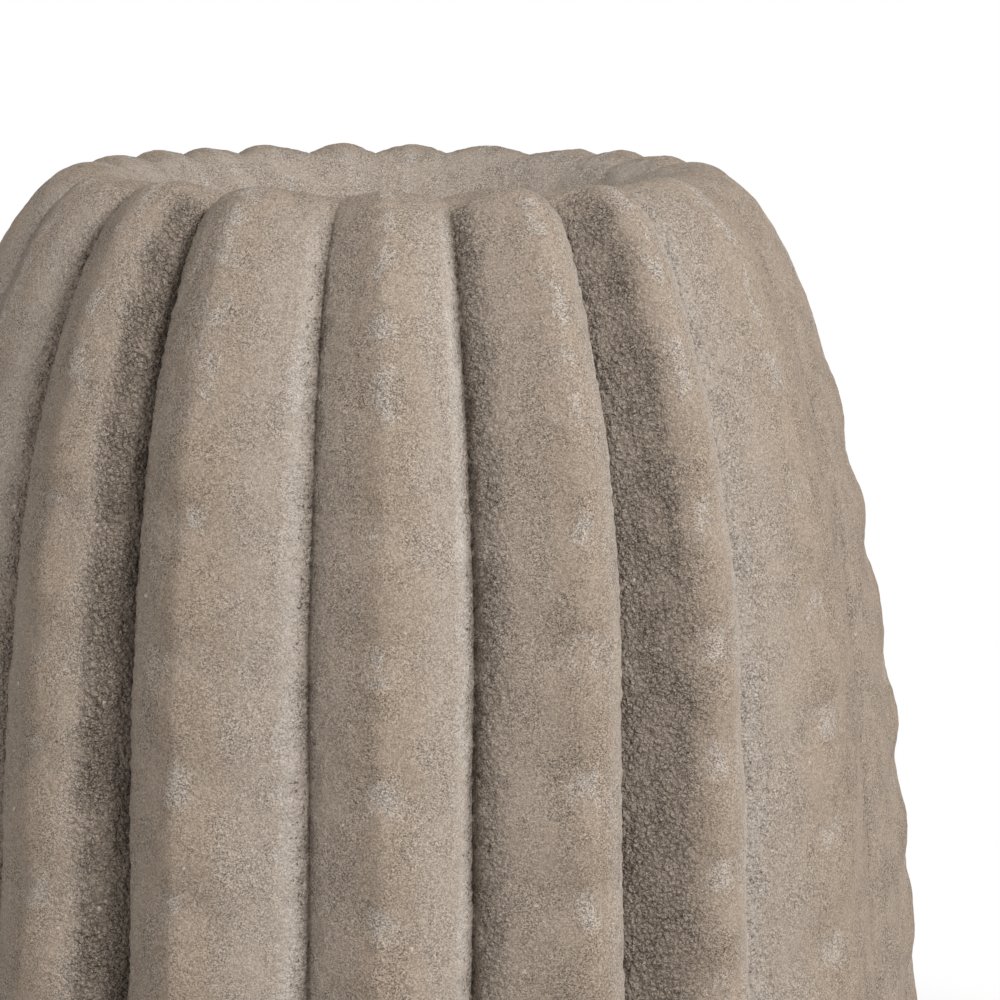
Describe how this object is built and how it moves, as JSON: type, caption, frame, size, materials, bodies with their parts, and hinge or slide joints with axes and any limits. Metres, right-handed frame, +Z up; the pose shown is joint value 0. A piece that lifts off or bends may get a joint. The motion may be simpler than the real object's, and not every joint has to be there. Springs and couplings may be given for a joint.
{
  "type": "urn vase",
  "caption": "Coil-built unglazed clay urn vase with rounded vertical ribs that roll over the shoulder into a round mouth; free-standing, holds stems or branches.",
  "frame": {"origin": "centre of the foot, on the plane that the vase stands on", "axes": "+Z up through the mouth, -Y towards the viewer of the picture with one rib facing it, +X to the viewer's right"},
  "size_m": [0.2892, 0.2888, 0.4],
  "materials": {
    "clay": "coarse sandy matt",
    "felt": "matt felt"
  },
  "bodies": {
    "root": {"pressed_bowl": "clay", "wall_coil_1": "clay", "wall_coil_2": "clay", "wall_coil_3": "clay", "wall_coil_4": "clay", "wall_coil_5": "clay", "wall_coil_6": "clay", "wall_coil_7": "clay", "wall_coil_8": "clay", "rolled_mouth": "clay", "felt_pad_1": "felt", "felt_pad_2": "felt", "felt_pad_3": "felt", "felt_pad_4": "felt"}
  },
  "joints": []
}
